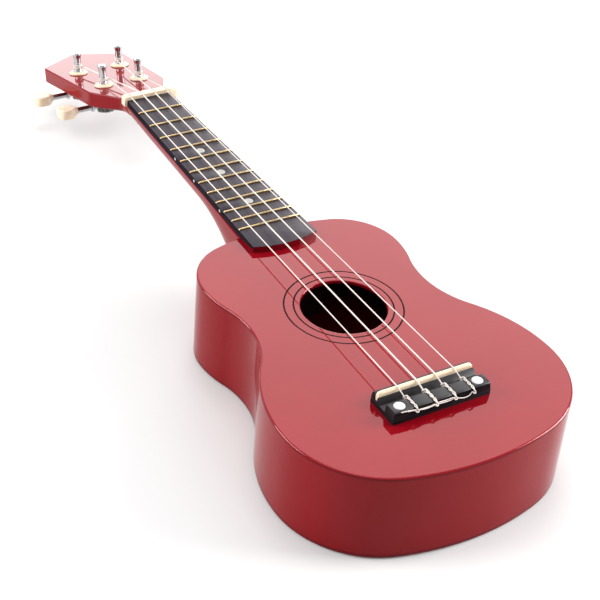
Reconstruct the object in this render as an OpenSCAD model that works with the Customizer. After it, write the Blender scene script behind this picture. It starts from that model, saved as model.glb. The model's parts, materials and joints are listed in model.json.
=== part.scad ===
// Soprano ukulele with a laminated sound box, a straight-string headstock and open-gear tuners.
// Millimetres. +Y runs from the tail to the headstock, +X is the treble side and +Z is up through
// the soundboard. The origin is on the floor under the middle of the whole instrument.

/* [Scale] */
// Nut to twelfth-fret-doubled scale length
scale_len = 345; // [340:1:350]
// Extra length from the nut to the saddle, which corrects the tuning
compensation = 1; // [0:0.5:2]
// Number of frets
fret_count = 12; // [10:1:12]

/* [Sound box] */
// Length of the sound box from tail to neck joint
body_len = 236.5; // [234:0.5:238]
// Depth from the soundboard face to the back face
body_depth = 57.5; // [54:0.5:62]
// Half width of the lower bout
lower_half = 88.9; // [86:0.5:92]
// Distance of the widest lower point from the tail
lower_at = 64.2; // [63:0.5:66]
// Radius of the lower bout on its tail side
lower_radius = 60; // [58:0.5:61]
// Half width of the waist
waist_half = 60.4; // [58:0.5:62]
// Distance of the waist from the tail
waist_at = 153; // [150:1:156]
// Half width of the upper bout
upper_half = 67.4; // [66:0.5:69]
// Distance of the widest upper point from the tail
upper_at = 195; // [194:0.5:196]
// Radius of the upper bout's shoulder
shoulder_radius = 37.5; // [36:0.5:38]
// Thickness of the soundboard
top_t = 2; // [1.8:0.1:3]
// Thickness of the back
back_t = 3.2; // [2.5:0.1:3.4]
// Thickness of the ribs
rib_t = 2.6; // [1.8:0.1:3]
// Distance from the tail to the saddle line
saddle_at = 63.3; // [62:0.1:65]
// Distance from the tail to the middle of the sound hole
hole_at = 147; // [144:1:150]
// Radius of the sound hole
hole_r = 25.75; // [24:0.25:27]
// Mean radii of the two black rings round the hole
ring_radii = [29.6, 35.3];
// Width of a black ring
ring_w = 1; // [0.5:0.1:1.2]

/* [Neck] */
// Half width of the fingerboard at the nut
nut_half = 16.25; // [15:0.25:17]
// Half width of the fingerboard at the twelfth fret
twelfth_half = 21.7; // [20.5:0.1:22]
// Thickness of the fingerboard
board_t = 4.2; // [3.8:0.1:4.6]
// Height of a fret crown
fret_h = 1.1; // [0.9:0.1:1.2]
// Depth of the neck under the fingerboard at the nut
neck_depth_nut = 13; // [12:0.5:15]
// Depth of the neck under the fingerboard where the heel starts
neck_depth_heel = 16; // [14:0.5:17]
// Depth of the heel at the sound box
heel_depth = 50; // [46:1:52]
// Length over which the heel curves down
heel_len = 62; // [54:1:66]
// How sharply the heel turns down: the power of its curve
heel_power = 2.1; // [1.8:0.1:2.6]

/* [Headstock] */
// Backward tilt of the headstock in degrees
head_angle = 13; // [12:0.5:14]
// Length of the headstock face
head_len = 130.5; // [128:0.5:132]
// Thickness of the headstock
head_t = 10.5; // [10:0.5:12]
// Half width of the headstock at its near corners
head_near_half = 28.6; // [28:0.2:30]
// Half width of the headstock at its far corners
head_far_half = 32.3; // [31.5:0.1:33]

/* [Tuners] */
// Half spacing and distance along the headstock of the near pair of posts
near_post = [14, 40.5];
// Half spacing and distance along the headstock of the far pair of posts
far_post = [16.5, 80.5];
// Height of a post above the headstock face
post_h = 15.5; // [12:0.5:16]
// Teeth of the wheel on each post
gear_teeth = 14; // [13:1:15]
// Distance between the post's axis and the worm's axis
gear_centres = 8.5; // [8.4:0.1:8.6]
// Distance from the post's axis to the middle of the button
button_at = 27; // [26:0.5:28]
// Size of a button along the shaft, across it and through its thickness
button_size = [12.5, 15, 7];

/* [Strings] */
// Radii of the g, c, e and a strings
string_r = [0.31, 0.43, 0.37, 0.29];
// String spacing at the nut
nut_spacing = 9; // [8.5:0.1:9.2]
// String spacing at the saddle
saddle_spacing = 12.4; // [12:0.1:12.8]
// Gap between a string and the plane of the frets at the nut
nut_action = 0.7; // [0.5:0.1:0.9]
// Height of the saddle's top above the soundboard
saddle_h = 8.9; // [8.5:0.1:9.3]

/* [Hidden] */
$fn = 48;
COURSES = ["g", "c", "e", "a"];
// Side of the headstock, half spacing and distance of each course's post
POSTS = [
    [-1, near_post[0], near_post[1]],
    [-1, far_post[0], far_post[1]],
    [1, far_post[0], far_post[1]],
    [1, near_post[0], near_post[1]],
];
function per_course(part) = [for (c = COURSES) str(part, "_", c)];
eps = 0.01;

// Places along Y. The nut's face on the fingerboard side is where the scale starts.
nut_t = 5;
tail_to_nut = saddle_at + scale_len + compensation;
total_len = tail_to_nut + nut_t + head_len * cos(head_angle);
tail_y = -total_len / 2;
nut_y = tail_y + tail_to_nut;
saddle_y = tail_y + saddle_at;
hole_y = tail_y + hole_at;
joint_y = tail_y + body_len;
function fret_y(n) = nut_y - scale_len * (1 - pow(2, -n / 12));

// Heights
top_z = body_depth;
inner_low = back_t;
inner_high = body_depth - top_t;
board_z = top_z + board_t;
fret_z = board_z + fret_h;
// The headstock's face starts behind the nut, above the floor of the nut's slot
head_z = fret_z - 3.1;

// ---------------------------------------------------------------- outline of the sound box

// Radii and centres that make each arc run smoothly into the next
side_x = lower_half - lower_radius;
tail_radius = (pow(side_x, 2) + pow(lower_at, 2) - pow(lower_radius, 2))
    / (2 * (lower_at - lower_radius));
lower_sum = (pow(lower_half - waist_half, 2) + pow(waist_at - lower_at, 2))
    / (2 * (lower_half - waist_half));
lower_convex = 0.62 * lower_sum;
lower_concave = lower_sum - lower_convex;
upper_sum = (pow(upper_half - waist_half, 2) + pow(upper_at - waist_at, 2))
    / (2 * (upper_half - waist_half));
upper_convex = 0.51 * upper_sum;
upper_concave = upper_sum - upper_convex;
shoulder_x = upper_half - shoulder_radius;
shoulder_rise = body_len - upper_at;
head_radius = (pow(shoulder_x, 2) + pow(shoulder_rise, 2) - pow(shoulder_radius, 2))
    / (2 * (shoulder_rise - shoulder_radius));
tail_end = atan2(lower_at - tail_radius, side_x);
lower_turn = atan2(waist_at - lower_at, lower_sum - lower_half + waist_half);
upper_turn = atan2(upper_at - waist_at, upper_sum - upper_half + waist_half);
shoulder_end = atan2(upper_at - body_len + head_radius, shoulder_x);

// Points of an arc without its last one, close enough that chords stay within the sag
function arc(c, r, from, to, sag = 0.03) =
    let (steps = max(2, ceil(r * abs(to - from) * PI / 180 / sqrt(8 * r * sag))))
    [for (i = [0 : steps - 1])
        let (a = from + (to - from) * i / steps) c + r * [cos(a), sin(a)]];

// Treble half of the outline from tail to head, moved inwards
function half_outline(inset) = concat(
    arc([0, tail_radius], tail_radius - inset, -90, tail_end),
    arc([side_x, lower_at], lower_radius - inset, tail_end, 0),
    arc([lower_half - lower_convex, lower_at], lower_convex - inset, 0, lower_turn),
    arc([waist_half + lower_concave, waist_at], lower_concave + inset, 180 + lower_turn, 180),
    arc([waist_half + upper_concave, waist_at], upper_concave + inset, 180, 180 - upper_turn),
    arc([upper_half - upper_convex, upper_at], upper_convex - inset, -upper_turn, 0),
    arc([shoulder_x, upper_at], shoulder_radius - inset, 0, shoulder_end),
    arc([0, body_len - head_radius], head_radius - inset, shoulder_end, 90),
    [[0, body_len - inset]]
);

function reversed(list) = [for (i = [len(list) - 1 : -1 : 0]) list[i]];
function mirrored(list) = [for (p = list) [-p[0], p[1]]];
function without_ends(list) = [for (i = [1 : len(list) - 2]) list[i]];

// Area inside the outline
module body_area(inset) {
    half = half_outline(inset);
    translate([0, tail_y])
        polygon(concat(half, mirrored(without_ends(reversed(half)))));
}

module body_slab(low, high, inset) {
    translate([0, 0, low])
        linear_extrude(high - low)
            body_area(inset);
}

// Box given by its two corners
module block(low, high) {
    translate(low)
        cube(high - low);
}

// ---------------------------------------------------------------- sound box

neck_block_half = 27;
neck_block_len = 26;
tail_block_half = 26;
tail_block_len = 14;
lining_w = 4.5;
lining_h = 5;
bolt_x = 25.5;
bolt_y = saddle_y - 13.5;
bolt_r = 1.5;

module soundboard() {
    color("#a3121f")
    difference() {
        body_slab(inner_high, top_z, 0);
        translate([0, hole_y, inner_high - 1])
            cylinder(r = hole_r, h = top_t + 2);
        for (r = ring_radii)
            ring(r, 0);
        for (side = [-1, 1])
            translate([side * bolt_x, bolt_y, inner_high - 1])
                cylinder(r = bolt_r + 0.1, h = top_t + 2);
    }
}

ring_depth = 0.5;
module ring(radius, gap) {
    translate([0, hole_y, top_z - ring_depth])
        difference() {
            cylinder(r = radius + ring_w / 2 - gap, h = ring_depth + (gap > 0 ? 0 : 1));
            translate([0, 0, -1])
                cylinder(r = radius - ring_w / 2 + gap, h = ring_depth + 3);
        }
}

module rosette_inner() {
    color("#15090a") ring(ring_radii[0], eps);
}

module rosette_outer() {
    color("#15090a") ring(ring_radii[1], eps);
}

module back_plate() {
    color("#a3121f") body_slab(0, inner_low, 0);
}

// Bent side from the tail's middle to the head's middle
module rib(side) {
    outer = half_outline(0);
    inner = half_outline(rib_t);
    color("#8f1220")
    mirror([side < 0 ? 1 : 0, 0, 0])
        difference() {
            translate([0, tail_y, inner_low])
                linear_extrude(inner_high - inner_low)
                    polygon(concat(outer, reversed(inner)));
            dowel_holes(dowel_r + 0.05);
        }
}

module lining(low) {
    color("#d9b98c")
    difference() {
        body_slab(low, low + lining_h, rib_t);
        body_slab(low - 1, low + lining_h + 1, rib_t + lining_w);
        neck_block_space(0.1);
        tail_block_space(0.1);
    }
}

module neck_block_space(gap) {
    block([-neck_block_half - gap, joint_y - rib_t - neck_block_len - gap, 0],
        [neck_block_half + gap, joint_y + 1, top_z]);
}

module tail_block_space(gap) {
    block([-tail_block_half - gap, tail_y - 1, 0],
        [tail_block_half + gap, tail_y + rib_t + tail_block_len + gap, top_z]);
}

module neck_block() {
    color("#c9a26b")
    difference() {
        intersection() {
            body_slab(inner_low, inner_high, rib_t);
            neck_block_space(0);
        }
        dowel_holes(dowel_r + 0.05);
    }
}

module tail_block() {
    color("#c9a26b")
    intersection() {
        body_slab(inner_low, inner_high, rib_t);
        tail_block_space(0);
    }
}

brace_w = 6;
brace_h = 8;
// Bars across the sound box at the given distances from the tail, on the top or on the back
module braces(places, low) {
    color("#e0c393")
    for (at = places)
        intersection() {
            body_slab(low, low + brace_h, rib_t + lining_w + 0.2);
            block([-lower_half, tail_y + at - brace_w / 2, 0],
                [lower_half, tail_y + at + brace_w / 2, top_z]);
        }
}

bridge_plate_t = 2;
module bridge_plate() {
    color("#c9a26b")
    difference() {
        block([-33, bolt_y - 9, inner_high - bridge_plate_t], [33, bolt_y + 15, inner_high]);
        for (side = [-1, 1])
            translate([side * bolt_x, bolt_y, inner_high - bridge_plate_t - 1])
                cylinder(r = bolt_r + 0.1, h = bridge_plate_t + 2);
    }
}

// ---------------------------------------------------------------- neck and headstock

dowel_r = 4;
dowel_heights = [37, 48.5];
dowel_inside = 18;
dowel_len = 28;

module dowel_holes(r) {
    for (z = dowel_heights)
        translate([0, joint_y - rib_t - dowel_inside - 0.5, z])
            rotate([-90, 0, 0])
                cylinder(r = r, h = dowel_len + 1);
}

module neck_dowels() {
    color("#d9b98c")
    for (z = dowel_heights)
        translate([0, joint_y - rib_t - dowel_inside, z])
            rotate([-90, 0, 0])
                cylinder(r = dowel_r, h = dowel_len);
}

// Half width of the fingerboard
function board_half(y) = nut_half + (twelfth_half - nut_half) * (nut_y - y) / (nut_y - fret_y(12));

// Depth of the neck under the fingerboard: it thickens towards the heel, curves down
// into it, and fades away inside the headstock
fade_len = 28;
fade_depth = 5;
function neck_depth(y) =
    let (heel_start = joint_y + heel_len)
    y > nut_y ? neck_depth_nut - fade_depth * pow((y - nut_y) / fade_len, 3)
    : let (run = min(1, (nut_y - y) / (nut_y - heel_start)))
    let (plain = neck_depth_nut + (neck_depth_heel - neck_depth_nut) * run)
    y > heel_start ? plain
    : let (s = min(1, (heel_start - y) / heel_len))
    plain + (heel_depth - plain) * pow(s, heel_power);

section_steps = 20;
// Power of the section's superellipse: lower is squarer, as in the heel
function fullness(y) = 0.82 - 0.27 * max(0, min(1, (joint_y + heel_len - y) / heel_len));
function neck_half(y) = board_half(min(y, nut_y + 1)) - 0.3;
// Height of the neck's upper side, which stays inside the headstock behind the nut
function neck_top(y) = min(top_z, head_z - 0.2 - (y - nut_y - nut_t) * tan(head_angle));
function neck_section(y) =
    let (top = neck_top(y), depth = neck_depth(y) - top_z + top)
    [for (i = [0 : section_steps])
        let (a = 180 * i / section_steps)
        let (c = cos(a))
        [sign(c) * pow(abs(c), fullness(y)) * neck_half(y), y,
            top - pow(abs(sin(a)), fullness(y)) * depth]];

neck_rows = concat(
    [for (i = [0 : 14]) joint_y - 2 + (heel_len + 2) * i / 14],
    [for (i = [1 : 5]) joint_y + heel_len + (nut_y - joint_y - heel_len) * i / 5],
    [for (i = [1 : 8]) nut_y + fade_len * i / 8]
);

// Closed skin over rings of points that all have the same number of points
module loft(rings) {
    size = len(rings[0]);
    last = len(rings) - 1;
    points = [for (ring = rings) each ring];
    sides = [for (k = [0 : last - 1]) for (i = [0 : size - 1])
        let (j = (i + 1) % size)
        each [[k * size + i, k * size + j, (k + 1) * size + j],
              [k * size + i, (k + 1) * size + j, (k + 1) * size + i]]];
    caps = [[for (i = [size - 1 : -1 : 0]) i], [for (i = [0 : size - 1]) last * size + i]];
    polyhedron(points = points, faces = concat(sides, caps));
}

// Corner of an outline rounded to the given radius: the points of its arc
function rounded_corner(before, corner, after, r) =
    let (u = (before - corner) / norm(before - corner), v = (after - corner) / norm(after - corner))
    let (half = acos(u * v) / 2)
    let (centre = corner + (u + v) / norm(u + v) * r / sin(half))
    let (start = corner + u * r / tan(half) - centre, end = corner + v * r / tan(half) - centre)
    let (a0 = atan2(start[1], start[0]), turn = atan2(start[0] * end[1] - start[1] * end[0], start * end))
    [for (i = [0 : 8]) centre + r * [cos(a0 + turn * i / 8), sin(a0 + turn * i / 8)]];

// Treble side of the headstock's outline: corner points with their radii
head_corners = [
    [nut_half, 0, 0],
    [nut_half, 5, 14],
    [head_near_half + 0.6, head_len * 0.25, 10],
    [head_far_half, head_len * 0.832, 2.5],
    [0, head_len, 0],
];
function head_point(i) = [head_corners[i][0], head_corners[i][1]];
function head_half() = concat(
    [head_point(0)],
    [for (i = [1 : 3]) each rounded_corner(
        head_point(i - 1), head_point(i), head_point(i + 1), head_corners[i][2])],
    [head_point(4)]
);

// Children are placed on the headstock: Y runs to its tip and Z stands on its face
module on_head() {
    translate([0, nut_y + nut_t, head_z])
        rotate([-head_angle, 0, 0])
            children();
}

// Children are placed on a post's axis, with X towards the post's own side
module at_post(post) {
    on_head()
        translate([post[0] * post[1], post[2], 0])
            mirror([post[0] < 0 ? 1 : 0, 0, 0])
                children();
}

bushing_r = 4.5;
module neck() {
    half = head_half();
    color("#a8182a")
    difference() {
        union() {
            loft([for (y = reversed(neck_rows)) neck_section(y)]);
            on_head()
                translate([0, 0, -head_t])
                    linear_extrude(head_t)
                        polygon(concat(half, mirrored(reversed(without_last(half)))));
        }
        // Slot for the nut, flat seat for the fingerboard, and the sound box's end
        block([-40, nut_y - 2, top_z], [40, nut_y + nut_t, top_z + 10]);
        body_slab(-1, top_z + 1, 0);
        dowel_holes(dowel_r + 0.05);
        for (post = POSTS)
            at_post(post) {
                translate([0, 0, -head_t - 1])
                    cylinder(r = bushing_r + 0.02, h = head_t + 2);
                for (y = plate_screw_at)
                    translate([0, y, -head_t - 1])
                        cylinder(r = screw_r + 0.05, h = screw_len + 1);
            }
    }
}

function without_last(list) = [for (i = [0 : len(list) - 2]) list[i]];

// ---------------------------------------------------------------- fingerboard, frets and nut

board_end_y = nut_y - 192.3;
board_bulge = 4;
fret_w = 1.6;
tang_w = 0.5;
tang_h = 1.8;

module board_area() {
    half = board_half(board_end_y);
    // The end is an arc through both corners and the bulge's middle
    r = (pow(half, 2) + pow(board_bulge, 2)) / (2 * board_bulge);
    spread = asin(half / r);
    curve = [for (i = [0 : 16])
        let (a = -90 - spread + 2 * spread * i / 16)
        [r * cos(a), board_end_y - board_bulge + r + r * sin(a)]];
    polygon(concat(curve, [[nut_half, nut_y], [-nut_half, nut_y]]));
}

dot_frets = [5, 7, 10];
dot_r = 2.8;
dot_t = 1;
side_dot_r = 1;
function dot_y(n) = (fret_y(n - 1) + fret_y(n)) / 2;

module side_pegs(gap) {
    for (n = dot_frets)
        translate([-board_half(dot_y(n)) - 2, dot_y(n), top_z + board_t / 2])
            rotate([0, 90, 0])
                cylinder(r = side_dot_r + gap, h = 4);
}

module fingerboard() {
    color("#26232a")
    difference() {
        translate([0, 0, top_z])
            linear_extrude(board_t)
                board_area();
        for (n = [1 : fret_count])
            block([-30, fret_y(n) - tang_w / 2 - eps, board_z - tang_h - 0.1],
                [30, fret_y(n) + tang_w / 2 + eps, board_z + 1]);
        for (n = dot_frets)
            translate([0, dot_y(n), board_z - dot_t])
                cylinder(r = dot_r + eps, h = dot_t + 1);
        side_pegs(eps);
    }
}

// Crown and tang of a fret wire, as an area with the fingerboard's face at zero
module fret_profile() {
    crown_r = (pow(fret_w / 2, 2) + pow(fret_h, 2)) / (2 * fret_h);
    intersection() {
        translate([0, fret_h - crown_r])
            circle(r = crown_r);
        translate([-fret_w, 0])
            square([2 * fret_w, 2 * fret_h]);
    }
    translate([-tang_w / 2, -tang_h])
        square([tang_w, tang_h + 0.2]);
}

module frets() {
    color("#d8b45a")
    for (n = [1 : fret_count]) {
        half = board_half(fret_y(n)) - 0.8;
        translate([-half, fret_y(n), board_z])
            rotate([90, 0, 90])
                linear_extrude(2 * half)
                    fret_profile();
    }
}

module position_dots() {
    color("#f2efe6")
    for (n = dot_frets)
        translate([0, dot_y(n), board_z - dot_t])
            cylinder(r = dot_r, h = dot_t);
}

module side_dots() {
    color("#f2efe6")
    intersection() {
        side_pegs(0);
        translate([0, 0, top_z])
            linear_extrude(board_t)
                board_area();
    }
}

// Height of a string's middle where it leaves the nut
function nut_string_z(i) = fret_z + nut_action + string_r[i];
function nut_x(i) = (i - 1.5) * nut_spacing;
function saddle_x(i) = (i - 1.5) * saddle_spacing;

// Area standing on the X axis with its two upper corners rounded
module round_top(half, height, r) {
    polygon(concat(
        [[-half, 0], [half, 0]],
        arc([half - r, height - r], r, 0, 90),
        [[half - r, height]],
        arc([r - half, height - r], r, 90, 180),
        [[-half, height - r]]));
}

nut_over = 2.2;
nut_top = fret_z + 1.7;
module nut() {
    half = nut_half + nut_over;
    height = nut_top - top_z;
    color("#efe6cf")
    difference() {
        translate([0, nut_y, top_z])
            rotate([90, 0, 180])
                linear_extrude(nut_t)
                    round_top(half, height, 2.5);
        // String slots, open to the top and falling towards the headstock
        for (i = [0 : 3])
            translate([nut_x(i), nut_y, nut_string_z(i) - string_r[i] - 0.02])
                rotate([-9, 0, 0])
                    block([-string_r[i] - 0.06, -2, 0], [string_r[i] + 0.06, nut_t + 3, 5]);
    }
}

// ---------------------------------------------------------------- bridge

bridge_half = 31.8;
tie_h = 7.9;
valley_h = 3;
ridge_h = 7.6;
ridge_low = 6.1;
saddle_t = 2.8;
saddle_seat = 3.4;
tie_front = -9.5;
tie_back = -17.9;
// The grooves and holes of the tie block lie this far to the treble side of the saddle points
tie_shift = 1;
groove_w = 3;
groove_d = 0.9;
string_hole_h = 4.9;
string_hole_r = 0.8;
cap_r = 3.25;
cap_t = 1.2;

module bridge() {
    color("#1b1a1c")
    difference() {
        translate([-bridge_half, saddle_y, top_z])
            rotate([90, 0, 90])
                linear_extrude(2 * bridge_half)
                    polygon([
                        [4.2, 0], [3.8, ridge_h - 1], [2.9, ridge_h],
                        [0, ridge_h], [0, ridge_low], [-saddle_t / 2 - 0.5, ridge_low],
                        [-4.4, valley_h], [tie_front, valley_h],
                        [tie_front, tie_h - 0.4], [tie_front - 0.5, tie_h],
                        [tie_back + 0.6, tie_h], [tie_back, tie_h - 0.6], [tie_back - 0.6, 0],
                    ]);
        // Slot for the saddle
        block([-bridge_half - 1, saddle_y - saddle_t / 2 - eps, top_z + saddle_seat],
            [bridge_half + 1, saddle_y + saddle_t / 2 + eps, top_z + 20]);
        for (i = [0 : 3])
            translate([saddle_x(i) + tie_shift, saddle_y, top_z]) {
                block([-groove_w / 2, tie_back - 2, tie_h - groove_d],
                    [groove_w / 2, tie_front + 1, tie_h + 2]);
                block([-groove_w / 2, tie_back - 2, 3], [groove_w / 2, tie_back + 0.5, tie_h + 2]);
                translate([0, tie_back - 3, string_hole_h])
                    rotate([-90, 0, 0])
                        cylinder(r = string_hole_r, h = 13);
            }
        for (side = [-1, 1]) {
            translate([side * bolt_x, bolt_y, top_z - 1])
                cylinder(r = bolt_r + 0.1, h = 20);
            translate([side * bolt_x, bolt_y, top_z + tie_h - cap_t - 2.2])
                cylinder(r = cap_r + eps, h = 20);
            // Slanted ends
            translate([side * (bridge_half - 0.7), 0, top_z + tie_h])
                rotate([0, side * -9, 0])
                    block([side > 0 ? 0 : -10, tail_y, -30], [side > 0 ? 10 : 0, hole_y, 30]);
        }
    }
}

module saddle() {
    half = bridge_half - 0.9;
    height = saddle_h - saddle_seat;
    color("#efe6cf")
    intersection() {
        translate([-half, saddle_y, top_z + saddle_seat])
            rotate([90, 0, 90])
                linear_extrude(2 * half)
                    union() {
                        translate([-saddle_t / 2, 0])
                            square([saddle_t, height - saddle_t / 2]);
                        translate([0, height - saddle_t / 2])
                            circle(r = saddle_t / 2);
                    }
        translate([0, saddle_y + 5, top_z + saddle_seat])
            rotate([90, 0, 0])
                linear_extrude(10)
                    round_top(half, height, 2);
    }
}

module bridge_bolts() {
    color("#c9ccd0")
    for (side = [-1, 1])
        translate([side * bolt_x, bolt_y, 0]) {
            translate([0, 0, inner_high - bridge_plate_t - 5])
                cylinder(r = bolt_r, h = top_z + tie_h - cap_t - inner_high + bridge_plate_t + 4);
            translate([0, 0, top_z + tie_h - cap_t - 2.2])
                cylinder(r = 2.8, h = 2);
        }
}

module bridge_nuts() {
    color("#c9ccd0")
    for (side = [-1, 1])
        translate([side * bolt_x, bolt_y, inner_high - bridge_plate_t - 2.4])
            difference() {
                cylinder(r = 3.2, h = 2.4, $fn = 6);
                translate([0, 0, -1])
                    cylinder(r = bolt_r + 0.02, h = 5);
            }
}

module bridge_caps() {
    color("#f4f3ef")
    for (side = [-1, 1])
        translate([side * bolt_x, bolt_y, top_z + tie_h - cap_t])
            cylinder(r = cap_r, h = cap_t + 0.2);
}

// ---------------------------------------------------------------- strings

route_sides = 8;
function along(list, i) = let (last = len(list) - 1)
    let (d = list[min(i + 1, last)] - list[max(i - 1, 0)]) d / norm(d);

// Tube that follows a route lying close to a plane square to X
module tube(route, r) {
    loft([for (i = [0 : len(route) - 1])
        let (t = along(route, i))
        let (n = cross(t, [1, 0, 0]) / norm(cross(t, [1, 0, 0])))
        let (b = cross(n, t))
        [for (k = [0 : route_sides - 1])
            route[i] + r * (cos(360 * k / route_sides) * n - sin(360 * k / route_sides) * b)]]);
}

function head_to_part(p) = [
    p[0],
    nut_y + nut_t + p[1] * cos(head_angle) + p[2] * sin(head_angle),
    head_z - p[1] * sin(head_angle) + p[2] * cos(head_angle)
];

winding_h = 3.6;
winding_turns = 3;
post_waist_r = 2.6;
function winding_ring_r(i) = post_waist_r + string_r[i] + 0.03;
// A string stops this far short of the point where it would lie against its winding
string_stop = 2.6;

// From the post over the nut and the saddle, through the bridge and back over its tie block
function string_route(i) =
    let (post = POSTS[i], r = string_r[i], x = saddle_x(i), tie_x = x + tie_shift)
    let (h = winding_h + winding_turns * r)
    [
        head_to_part([post[0] * (post[1] - winding_ring_r(i)), post[2] - string_stop, h]),
        [nut_x(i), nut_y + nut_t, nut_string_z(i) - 0.45],
        [nut_x(i), nut_y + 1.2, nut_string_z(i)],
        [x, saddle_y + 1, top_z + saddle_h + r + 0.06],
        [x, saddle_y - 1, top_z + saddle_h + r - 0.05],
        [tie_x, saddle_y + tie_front + 0.7, top_z + string_hole_h + 0.2],
        [tie_x, saddle_y + tie_front - 0.5, top_z + string_hole_h],
        [tie_x, saddle_y + tie_back - 0.2, top_z + string_hole_h],
        [tie_x, saddle_y + tie_back - 0.9, top_z + string_hole_h + 0.9],
        [tie_x, saddle_y + tie_back - 0.5, top_z + tie_h - 0.6],
        [tie_x, saddle_y + tie_back + 0.5, top_z + tie_h - groove_d + r + 0.35],
        [tie_x, saddle_y + tie_back + 2, top_z + tie_h - groove_d + r + 0.05],
        [tie_x, saddle_y + tie_front - 0.8, top_z + tie_h - groove_d + r + 0.05],
    ];

module string(i) {
    color("#f3efe8") tube(reversed(string_route(i)), string_r[i]);
}

// Turns of the string round its post, drawn as one ribbed sleeve
module winding(i) {
    r = string_r[i];
    color("#f3efe8")
    at_post(POSTS[i])
        translate([0, 0, winding_h])
            rotate_extrude()
                union() {
                    translate([winding_ring_r(i) - r + 0.01, 0])
                        square([r, 2 * r * (winding_turns - 0.05)]);
                    for (k = [0 : winding_turns - 1])
                        translate([winding_ring_r(i), r * (1 + 2 * k * 0.98)])
                            circle(r = r);
                }
}

// ---------------------------------------------------------------- tuners

tuner_plate_t = 1;
screw_r = 1;
screw_len = 7;
plate_screw_at = [-10.8, 16.5];
shaft_r = 2;
worm_drop = 5.5;
worm_h = -head_t - tuner_plate_t - worm_drop;
worm_len = 9.4;
worm_crest_r = 3.05;
ear_x = 6.3;
ear_t = 1.3;
ear_half = 3.4;
gear_t = 3;
pitch_r = 5.8;
worm_pitch = 2 * PI * pitch_r / gear_teeth;
gear_tip_r = 6.2;
gear_root_r = 5.2;
post_r = 3;
spigot_r = 1.98;
button_tunnel = 5;

module bushings() {
    color("#efe6cf")
    for (post = POSTS)
        at_post(post)
            difference() {
                rotate_extrude()
                    polygon([[0, -8], [bushing_r, -8], [bushing_r, 0], [6.6, 0], [6.6, 0.9],
                        [5.9, 1.5], [4, 1.8], [0, 1.8]]);
                translate([0, 0, -9])
                    cylinder(r = post_r + 0.05, h = 12);
            }
}

module tuner_plate(i) {
    low = -head_t - tuner_plate_t;
    color("#c4c8cc")
    at_post(POSTS[i])
        difference() {
            union() {
                block([-5, plate_screw_at[0] - 3, low], [5, plate_screw_at[1] + 3, -head_t]);
                block([-ear_x - ear_t, gear_centres - ear_half, low],
                    [ear_x + ear_t, gear_centres + ear_half, -head_t]);
                // Bent-up ears that carry the worm
                for (side = [-1, 1])
                    translate([side > 0 ? ear_x : -ear_x - ear_t, gear_centres, 0])
                        rotate([90, 0, 90])
                            linear_extrude(ear_t)
                                ear_area(low + 0.2);
            }
            translate([0, 0, low - 1])
                cylinder(r = post_r + 0.08, h = 4);
            for (y = plate_screw_at)
                translate([0, y, low - 1])
                    cylinder(r = screw_r + 0.15, h = 4);
            translate([-20, gear_centres, worm_h])
                rotate([0, 90, 0])
                    cylinder(r = shaft_r + 0.05, h = 40);
        }
}

// Outline of an ear: straight sides from the plate and a round end
module ear_area(high) {
    polygon(concat(
        [[ear_half, high]],
        [[-ear_half, high]],
        arc([0, worm_h], ear_half, -180, 0),
        [[ear_half, worm_h]]));
}

// Domed screws that hold the plates to the back of the headstock
module plate_screws() {
    low = -head_t - tuner_plate_t;
    color("#b9bdc2")
    for (post = POSTS)
        at_post(post)
            for (y = plate_screw_at)
                translate([0, y, 0])
                    difference() {
                        rotate_extrude()
                            polygon([[0, -head_t + screw_len - 1], [0.4, -head_t + screw_len - 1],
                                [screw_r, -head_t + screw_len - 2.4], [screw_r, low],
                                [2.2, low], [2.1, low - 0.7], [1.4, low - 1.2], [0, low - 1.35]]);
                        cross_slot(low - 1.4);
                    }
}

module cross_slot(z) {
    for (a = [0, 90])
        rotate([0, 0, a])
            translate([0, 0, z])
                cube([2.4, 0.5, 1.4], center = true);
}

// Helical thread of the worm: rings of four points along the helix. Its middle turn faces away
// from the wheel, so the wheel's first tooth meets a gap.
thread_steps = 20;
thread_phase = 90;
thread_base = 0.62;
thread_crest = 0.36;
module thread() {
    count = round((worm_len / worm_pitch - 0.6) * thread_steps);
    turns = count / thread_steps;
    rotate([0, 90, 0])
        loft([for (k = [0 : count])
            let (a = 360 * (k / thread_steps - turns / 2))
            let (z = worm_pitch * a / 360)
            [for (p = [[shaft_r - 0.3, -thread_base], [worm_crest_r, -thread_crest],
                    [worm_crest_r, thread_crest], [shaft_r - 0.3, thread_base]])
                [p[0] * cos(a), p[0] * sin(a), z + p[1]]]]);
}

module worm_shaft(i) {
    color("#b9bdc2")
    at_post(POSTS[i])
        translate([0, gear_centres, worm_h]) {
            translate([-ear_x - ear_t - 0.8, 0, 0])
                rotate([0, 90, 0])
                    cylinder(r = shaft_r, h = ear_x + ear_t + 0.8 + button_at
                        - button_size[0] / 2 + button_tunnel);
            rotate([thread_phase, 0, 0])
                thread();
        }
}

// Flat oval button: a superellipse outline with its corners drawn in towards the shaft
function button_outline() = [for (k = [0 : 39])
    let (a = 360 * k / 40, c = cos(a), s = sin(a))
    [sign(c) * pow(abs(c), 0.75) * button_size[0] / 2,
        sign(s) * pow(abs(s), 0.75) * button_size[1] / 2 * (0.93 + 0.07 * c)]];

module button(i) {
    color("#f0e4cb")
    at_post(POSTS[i])
        translate([button_at, gear_centres, worm_h])
            difference() {
                union() {
                    translate([0, 0, -button_size[2] / 2])
                        linear_extrude(button_size[2])
                            polygon(button_outline());
                    translate([-button_size[0] / 2 - 1.6, 0, 0])
                        rotate([0, 90, 0])
                            cylinder(r = 2.9, h = 4);
                }
                translate([-button_size[0] / 2 - 3, 0, 0])
                    rotate([0, 90, 0])
                        cylinder(r = shaft_r + 0.01, h = 3 + button_tunnel + 0.1);
            }
}

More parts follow.
